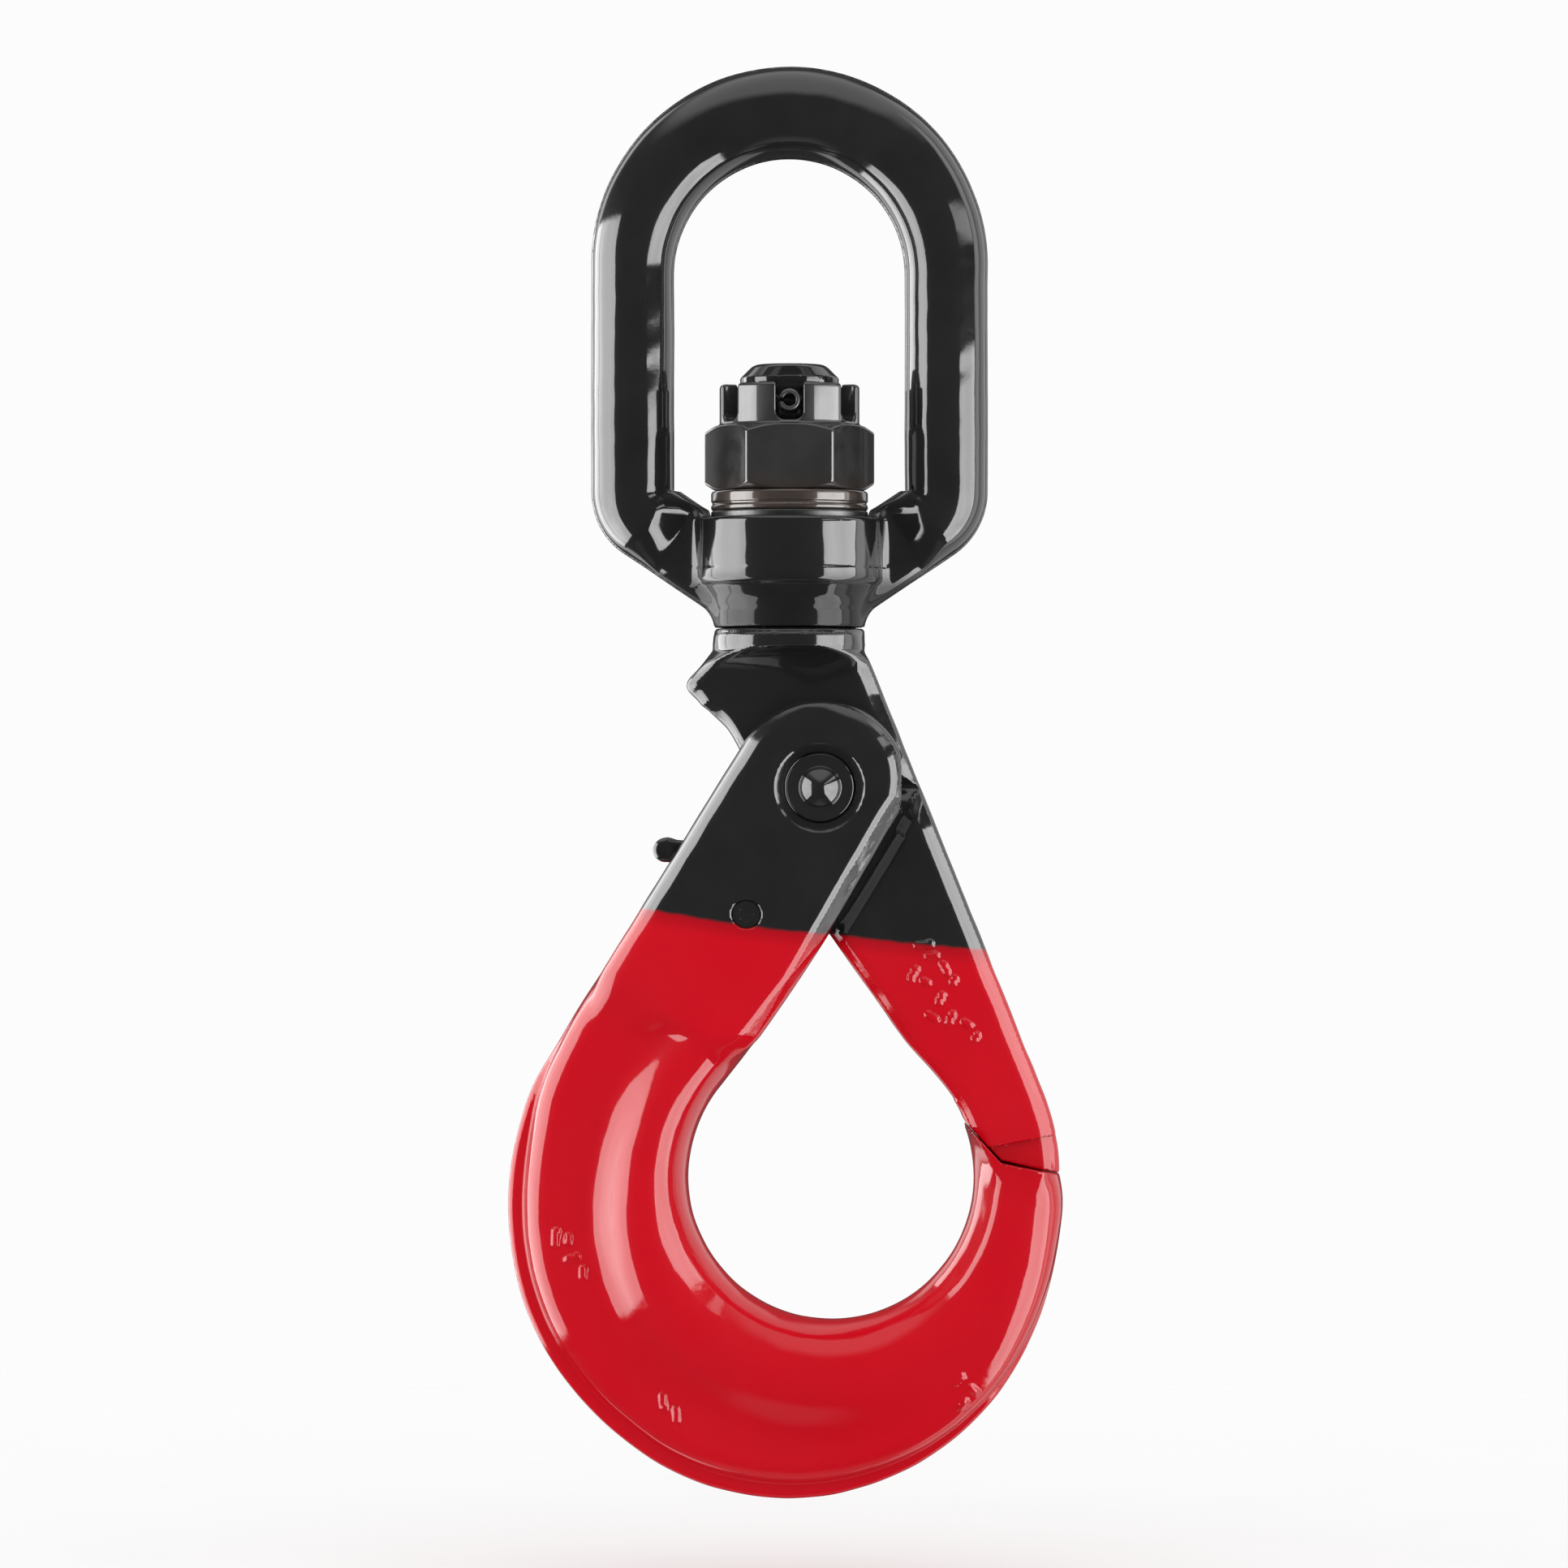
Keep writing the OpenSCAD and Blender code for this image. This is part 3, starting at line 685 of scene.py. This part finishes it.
def spring_path():
    a0, a1 = math.radians(FLOOR_LEG_A), math.radians(LEVER_LEG_A + 360 * COIL_TURNS)
    a = np.linspace(a0, a1, 48 * COIL_TURNS)
    rise = COIL_Y + COIL_PITCH * (a - a0) / (2 * math.pi)
    coil = np.stack([COIL_R * np.cos(a), rise, COIL_R * np.sin(a)], 1)
    first = coil[0] + FLOOR_LEG * np.array([math.sin(a0), 0, -math.cos(a0)])
    last = coil[-1] + LEVER_LEG * np.array([-math.sin(a1), 0, math.cos(a1)])
    lead = first + (coil[0] - first) * np.linspace(0, 1, 12)[:-1, None]
    tail = coil[-1] + (last - coil[-1]) * np.linspace(0, 1, 24)[1:, None]
    return np.concatenate([lead, coil, tail]) + [T[0], 0, T[1]]


def wire(name, path, radius, sides=16):
    """Round wire along a path, with closed ends that are rounded off"""
    tangent = np.gradient(path, axis=0)
    tangent /= np.linalg.norm(tangent, axis=1)[:, None]
    u = np.cross(tangent, [0.0, 1.0, 0.0])
    u /= np.linalg.norm(u, axis=1)[:, None]
    v = np.cross(u, tangent)
    a = np.linspace(0, 2 * math.pi, sides, endpoint=False)
    cap = np.array([0.0, 0.6, 0.9, 1.0])
    shift = np.array([0.35, 0.28, 0.12, 0.0]) * radius
    before = path[0] - tangent[0] * shift[1:3, None]
    after = path[-1] + tangent[-1] * shift[2:0:-1, None]
    centres = np.concatenate([before, path, after])
    scales = np.concatenate([cap[1:3], np.ones(len(path)), cap[2:0:-1]]) * radius
    u = np.concatenate([u[:1], u[:1], u, u[-1:], u[-1:]])
    v = np.concatenate([v[:1], v[:1], v, v[-1:], v[-1:]])
    around = u[:, None] * np.cos(a)[None, :, None] + v[:, None] * np.sin(a)[None, :, None]
    rings = centres[:, None] + scales[:, None, None] * around
    n = len(rings)
    tips = [path[0] - tangent[0] * shift[0], path[-1] + tangent[-1] * shift[0]]
    verts = np.concatenate([rings.reshape(-1, 3), tips])
    k, j = np.meshgrid(np.arange(n - 1), np.arange(sides), indexing="ij")
    j2 = (j + 1) % sides
    corners = [k * sides + j, k * sides + j2, (k + 1) * sides + j2, (k + 1) * sides + j]
    faces = np.stack(corners, -1).reshape(-1, 4)
    faces = [tuple(int(i) for i in f) for f in faces]
    for j0 in range(sides):
        j1 = (j0 + 1) % sides
        faces.append((n * sides, j1, j0))
        faces.append((n * sides + 1, (n - 1) * sides + j0, (n - 1) * sides + j1))
    mesh = bpy.data.meshes.new(name)
    mesh.from_pydata((verts * MM).tolist(), [], faces)
    mesh.shade_smooth()
    obj = bpy.data.objects.new(name, mesh)
    bpy.context.scene.collection.objects.link(obj)
    return obj


# ---------------------------------------------------------------- build
pieces = {}


def adopt(obj, node):
    """obj stands for the CAD node and moves with its body"""
    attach(obj, frame["nodes"][node]["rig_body"])
    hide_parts(node)
    pieces[obj.name] = obj
    return obj


def build(name, node, field, cell, detail=None, pad=1.0):
    low, high = box_mm(node)
    return adopt(solid(name, field, low - pad, high + pad, cell, detail), node)


FINE = CELL / 2
build("bow_forging", "swivel_bow", bow_field, CELL, bow_detail)
build("hook_forging", "hook_body", hook_field, CELL, hook_detail)
build("arm_forging", "hook_arm", arm_field, CELL, arm_detail)
build("nut", "castle_nut", nut_field, FINE)
build("washer", "thrust_washer", washer_field, FINE)
for which in ("lower", "upper"):
    node = "bearing_" + which + "_race"
    build(which + "_race", node, race_field(*box_mm(node)), FINE)
build("balls", "bearing_balls", balls_field, FINE)
build("cage", "bearing_cage", cage_field, FINE * 0.7)
build("bush", "bow_bush", bush_field, FINE)
build("lock_pin", "nut_lock_pin", lock_pin_field, FINE * 0.7)
build("pin", "load_pin", load_pin_field, FINE, pad=2.5)
build("thumb_lever", "trigger", trigger_field, FINE)
build("pivot_pin", "trigger_pin", trigger_pin_field, FINE * 0.7)
adopt(wire("torsion_spring", spring_path(), WIRE_R), "trigger_spring")

# ---------------------------------------------------------------- materials


class Graph:
    """Short names for building a node tree"""

    def __init__(self, tree):
        self.tree = tree

    def add(self, kind, **settings):
        n = self.tree.nodes.new(kind)
        for key, value in settings.items():
            setattr(n, key, value)
        return n

    def put(self, target, value):
        if isinstance(value, bpy.types.NodeSocket):
            self.tree.links.new(value, target)
        else:
            target.default_value = value

    def maths(self, kind, a, b=0.0, c=0.0):
        n = self.add("ShaderNodeMath", operation=kind)
        for k, v in enumerate((a, b, c)):
            self.put(n.inputs[k], v)
        return n.outputs[0]

    def step(self, value, low, high, first=0.0, last=1.0):
        n = self.add("ShaderNodeMapRange", interpolation_type="SMOOTHSTEP")
        for k, v in enumerate((value, low, high, first, last)):
            self.put(n.inputs[k], v)
        return n.outputs[0]

    def band(self, value, low, high, soft):
        """1 between low and high, fading to 0 over soft on each side"""
        up = self.step(value, low - soft, low + soft)
        down = self.step(value, high - soft, high + soft, 1.0, 0.0)
        return self.maths("MULTIPLY", up, down)

    def noise(self, where, scale, detail=3.0, rough=0.5):
        """Noise with the given number of waves per metre"""
        n = self.add("ShaderNodeTexNoise")
        self.put(n.inputs["Vector"], where)
        self.put(n.inputs["Scale"], scale)
        self.put(n.inputs["Detail"], detail)
        self.put(n.inputs["Roughness"], rough)
        return n.outputs[0]

    def mix(self, t, a, b):
        n = self.add("ShaderNodeMix", data_type="RGBA")
        self.put(n.inputs[0], t)
        self.put(n.inputs[6], a)
        self.put(n.inputs[7], b)
        return n.outputs[2]

    def split(self, vector):
        n = self.add("ShaderNodeSeparateXYZ")
        self.put(n.inputs[0], vector)
        return n.outputs

    def bump(self, height, distance, base=None):
        n = self.add("ShaderNodeBump")
        self.put(n.inputs["Height"], height)
        self.put(n.inputs["Distance"], distance)
        self.put(n.inputs["Strength"], 1.0)
        if base is not None:
            self.put(n.inputs["Normal"], base)
        return n.outputs[0]


class Finish(Graph):
    """A material with a Principled shader in the coordinates of the frame"""

    def __init__(self, name):
        self.material = bpy.data.materials.new(name)
        self.material.use_nodes = True
        super().__init__(self.material.node_tree)
        self.bsdf = self.tree.nodes["Principled BSDF"]
        self.where = self.add("ShaderNodeTexCoord").outputs["Object"]

    def set(self, **values):
        for key, value in values.items():
            self.put(self.bsdf.inputs[key.replace("_", " ")], value)
        return self


def grey(v, tint=(1, 1, 1)):
    return (v * tint[0], v * tint[1], v * tint[2], 1)


def black_coat(g):
    """Colour of the black enamel: nearly even, with a faint mottle"""
    return g.mix(g.noise(g.where, 90, 5, 0.6), grey(0.007), grey(0.02, (1, 1, 1.03)))


def coat(g, colour, peel=1.0, gloss=0.05, ior=1.75):
    """Sprayed enamel: orange peel in the clear surface and slightly uneven gloss"""
    patches = g.noise(g.where, 35, 4)
    fine = g.noise(g.where, 620, 2)
    wavy = g.noise(g.where, 130, 2)
    normal = g.bump(fine, 0.000012 * peel, g.bump(wavy, 0.00006 * peel))
    g.set(Base_Color=colour, Roughness=g.step(patches, 0.3, 0.7, 0.38, 0.5), Specular_IOR_Level=0.04)
    g.set(Coat_Weight=1.0, Coat_Roughness=g.step(patches, 0.3, 0.7, gloss, gloss * 1.9))
    g.set(Coat_IOR=ior, Normal=normal, Coat_Normal=normal)
    return g


def black_enamel(name, peel=1.0, gloss=0.05):
    g = Finish(name)
    return coat(g, black_coat(g), peel, gloss)


def bow_enamel(name):
    """Black enamel of the bow, dulled by grease on the cone above the swivel gap"""
    g = Finish(name)
    coat(g, black_coat(g), 0.6)
    _, _, z = g.split(g.where)
    return g.set(Coat_Weight=g.step(z, -0.0745, -0.0785, 1.0, 0.3))


RED = (0.66, 0.0008, 0.012, 1)
RED_DEEP = (0.55, 0.0006, 0.009, 1)


def two_tone(name):
    """Red enamel, dipped black above a slightly sloping line"""
    g = Finish(name)
    x, _, z = g.split(g.where)
    across = g.maths("MULTIPLY_ADD", x, 1 / 0.03, -4 / 30)
    line = g.maths("MULTIPLY_ADD", across, -0.0037, -0.1408)
    line = g.maths("MULTIPLY_ADD", g.maths("MULTIPLY", across, across), 0.0006, line)
    wobble = g.maths("MULTIPLY", g.maths("SUBTRACT", g.noise(g.where, 55, 2), 0.5), 0.0014)
    ragged = g.maths("MULTIPLY", g.maths("SUBTRACT", g.noise(g.where, 420, 3), 0.5), 0.0005)
    above = g.maths("ADD", g.maths("SUBTRACT", z, line), g.maths("ADD", wobble, ragged))
    red = g.mix(g.noise(g.where, 45, 4, 0.6), RED_DEEP, RED)
    red = g.mix(g.step(above, -0.0035, 0.0, 0.0, 0.45), red, (0.25, 0.0004, 0.005, 1))
    colour = g.mix(g.step(above, -0.0004, 0.0005), red, black_coat(g))
    return coat(g, colour, 1.1, 0.055, g.step(above, -0.0004, 0.0005, 1.5, 1.75))


def blackened(name, colour, rough, brown_z, brown):
    """Blackened and oiled steel whose oxide turns brown below brown_z"""
    g = Finish(name)
    dark = tuple(c * 0.55 for c in colour[:3]) + (1,)
    base = g.mix(g.noise(g.where, 160, 6, 0.65), dark, colour)
    _, _, z = g.split(g.where)
    rust = g.maths("MULTIPLY", g.step(z, brown_z + 0.004, brown_z, 0.0, brown), g.noise(g.where, 300, 4))
    base = g.mix(rust, base, (0.09, 0.04, 0.02, 1))
    worn = g.step(g.noise(g.where, 240, 4), 0.3, 0.7, rough, rough + 0.14)
    g.set(Base_Color=base, Metallic=0.35, Roughness=worn)
    g.set(Coat_Weight=1.0, Coat_Roughness=0.07, Coat_IOR=1.8)
    return g.set(Normal=g.bump(g.noise(g.where, 900, 4), 0.00001))


def turned(name, colour, rough, axis, lines, depth):
    """Bare metal with tool lines. axis is "r" for rings on a face, otherwise the axis the
    lines are spaced along, and lines is their number per metre."""
    g = Finish(name)
    x, y, z = g.split(g.where)
    along = {"x": x, "y": y, "z": z}.get(axis)
    if along is None:
        along = g.maths("SQRT", g.maths("ADD", g.maths("MULTIPLY", x, x), g.maths("MULTIPLY", y, y)))
    jitter = g.maths("MULTIPLY", g.noise(g.where, 500, 2), 0.0002)
    wave = g.maths("SINE", g.maths("MULTIPLY", g.maths("ADD", along, jitter), 2 * math.pi * lines))
    stain = g.noise(g.where, 120, 5, 0.6)
    dull = tuple(c * 0.7 for c in colour[:3]) + (1,)
    g.set(Base_Color=g.mix(g.step(stain, 0.35, 0.7), colour, dull), Metallic=1.0)
    g.set(Roughness=g.step(stain, 0.3, 0.75, rough, rough + 0.15))
    return g.set(Normal=g.bump(wave, depth))


FINISHES = {
    "bow_forging": bow_enamel("bow_enamel"),
    "hook_forging": two_tone("hook_enamel"),
    "arm_forging": two_tone("arm_enamel"),
    "nut": blackened("nut_oxide", grey(0.045), 0.3, -0.0600, 0.4),
    "washer": blackened("washer_oxide", grey(0.05, (1.1, 0.95, 0.85)), 0.34, -0.060, 0.6),
    "lower_race": turned("lower_race_steel", grey(0.62, (1, 1.01, 1.04)), 0.16, "r", 4000, 0.000002),
    "upper_race": turned("upper_race_steel", grey(0.16, (1, 1.01, 1.03)), 0.3, "r", 3600, 0.000002),
    "balls": turned("ball_steel", grey(0.75, (1, 1, 1.02)), 0.05, "z", 900, 0.0000003),
    "cage": turned("cage_brass", (0.66, 0.48, 0.2, 1), 0.28, "x", 2500, 0.000002),
    "bush": turned("bush_bronze", (0.58, 0.36, 0.15, 1), 0.26, "z", 3000, 0.000005),
    "lock_pin": turned("lock_pin_steel", grey(0.3, (1, 1, 1.03)), 0.34, "y", 1800, 0.000003),
    "pin": black_enamel("pin_enamel", 0.5, 0.05),
    "thumb_lever": black_enamel("lever_enamel", 1.4, 0.12),
    "pivot_pin": black_enamel("pivot_enamel", 0.5, 0.06),
    "torsion_spring": turned("spring_wire", grey(0.5, (1, 1, 1.03)), 0.3, "y", 5000, 0.000002),
}
for name, obj in pieces.items():
    obj.data.materials.append(FINISHES[name].material)

# ---------------------------------------------------------------- stage
FLOOR_Z = -0.26
RINGS = [0.0, 0.05, 0.1, 0.16, 0.24, 0.34, 0.48, 0.7, 1.0]
SPOKES = 48
verts = []
for radius in RINGS:
    for k in range(SPOKES):
        a = 2 * math.pi * k / SPOKES
        verts.append((radius * math.cos(a), radius * math.sin(a), FLOOR_Z))
faces = []
for i in range(len(RINGS) - 1):
    for k in range(SPOKES):
        k1 = (k + 1) % SPOKES
        faces.append((i * SPOKES + k, (i + 1) * SPOKES + k, (i + 1) * SPOKES + k1, i * SPOKES + k1))
floor_mesh = bpy.data.meshes.new("floor")
floor_mesh.from_pydata(verts, [], faces)
floor = bpy.data.objects.new("floor", floor_mesh)
bpy.context.scene.collection.objects.link(floor)
floor.visible_glossy = False
g = Finish("floor")
x, y, _ = g.split(g.where)
far = g.maths("SQRT", g.maths("ADD", g.maths("MULTIPLY", x, x), g.maths("MULTIPLY", y, y)))
g.set(Base_Color=g.mix(g.noise(g.where, 30, 3), grey(0.83), grey(0.85)))
g.set(Roughness=0.9, Specular_IOR_Level=0.0)
g.set(Alpha=g.step(far, 0.12, 0.6, 1.0, 0.0))
floor_mesh.materials.append(g.material)

# World: what glossy surfaces reflect is a dark studio with a light box on each side, and
# everything else is lit by an even white surround that is brighter overhead.


def light_panel(name, x, y_low, y_high, z_low, z_high, power, bar_y=None):
    """Upright light box beside the object, seen only in reflections. bar_y is where a dim
    upright bar crosses it."""
    mesh = bpy.data.meshes.new(name)
    ring = [(x, y_low, z_low), (x, y_high, z_low), (x, y_high, z_high), (x, y_low, z_high)]
    mesh.from_pydata(ring, [], [(0, 1, 2, 3)])
    panel = bpy.data.objects.new(name, mesh)
    bpy.context.scene.collection.objects.link(panel)
    for ray in ("camera", "diffuse", "transmission", "volume_scatter", "shadow"):
        setattr(panel, "visible_" + ray, False)
    light = Finish(name)
    where = dict(zip("xyz", light.split(light.where)))
    edge = light.band(where["y"], y_low + 0.006, y_high - 0.006, 0.005)
    edge = light.maths("MULTIPLY", edge, light.band(where["z"], z_low + 0.03, z_high - 0.008, 0.007))
    glow = edge
    if bar_y is not None:
        bar = light.band(where["y"], bar_y - 0.006, bar_y + 0.006, 0.004)
        dim = light.maths("SUBTRACT", 1.0, light.maths("MULTIPLY", bar, 0.6))
        glow = light.maths("MULTIPLY", edge, dim)
    cloud = light.step(light.noise(light.where, 7, 2), 0.25, 0.75, 0.82, 1.1)
    strength = light.maths("MULTIPLY", light.maths("MULTIPLY", glow, cloud), power)
    light.set(Base_Color=(0, 0, 0, 1), Specular_IOR_Level=0.0, Emission_Color=(1, 1, 1, 1))
    light.set(Emission_Strength=strength, Roughness=1.0)
    mesh.materials.append(light.material)
    return panel


light_panel("left_box", -0.24, -0.174, 0.232, -0.368, 0.06, 5.4, 0.082)
light_panel("right_box", 0.24, -0.286, -0.008, -0.45, -0.014, 5.4)
light_panel("right_top", 0.24, -0.286, -0.008, -0.008, 0.085, 2.0)

world = bpy.data.worlds.new("studio")
bpy.context.scene.world = world
world.use_nodes = True
world.node_tree.nodes.clear()
g = Graph(world.node_tree)
dx, dy, dz = g.split(g.add("ShaderNodeTexCoord").outputs["Generated"])
azimuth = g.maths("MULTIPLY", g.maths("ARCTAN2", dx, g.maths("MULTIPLY", dy, -1.0)), 180 / math.pi)
height = g.maths("MULTIPLY", g.maths("ARCSINE", dz), 180 / math.pi)


def sector(az_low, az_high, low, high, power):
    """Soft grey part of the studio walls"""
    level = g.band(height, low, high, 8)
    return g.maths("MULTIPLY", g.maths("MULTIPLY", g.band(azimuth, az_low, az_high, 4), level), power)


glossy = 0.06
for part in (
    sector(90, 108, -66, 50, 1.6),
    sector(112, 152, -66, 50, 0.8),
    sector(-152, -134, -66, 40, 1.4),
    g.step(height, -60, -78, 0.0, 0.25),
    g.step(height, 40, 60, 0.0, 0.8),
):
    glossy = g.maths("ADD", part, glossy)
surround = g.maths("MULTIPLY_ADD", dz, 0.25, 1.0)
path = g.add("ShaderNodeLightPath")
shown = g.maths("MULTIPLY", path.outputs["Is Camera Ray"], 1.0)
mixed = g.add("ShaderNodeMix", data_type="FLOAT")
g.put(mixed.inputs[0], path.outputs["Is Glossy Ray"])
g.put(mixed.inputs[2], surround)
g.put(mixed.inputs[3], glossy)
final = g.add("ShaderNodeMix", data_type="FLOAT")
g.put(final.inputs[0], shown)
g.put(final.inputs[2], mixed.outputs[0])
g.put(final.inputs[3], 0.975)
back = g.add("ShaderNodeBackground")
g.put(back.inputs["Color"], (1, 1, 1, 1))
g.put(back.inputs["Strength"], final.outputs[0])
out = g.add("ShaderNodeOutputWorld")
g.put(out.inputs[0], back.outputs[0])

# ---------------------------------------------------------------- camera
scene = bpy.context.scene
camera = bpy.data.objects.new("camera", bpy.data.cameras.new("camera"))
scene.collection.objects.link(camera)
DISTANCE = 1.3
FRAME_WIDTH = 0.2859
camera.location = (-0.001, -DISTANCE, -0.1138)
camera.rotation_euler = (math.pi / 2, 0, 0)
camera.data.sensor_width = 36
camera.data.lens = 36 * DISTANCE / FRAME_WIDTH
camera.data.clip_start = 0.05
camera.data.clip_end = 20
scene.camera = camera
scene.view_settings.view_transform = "Standard"
scene.view_settings.look = "None"
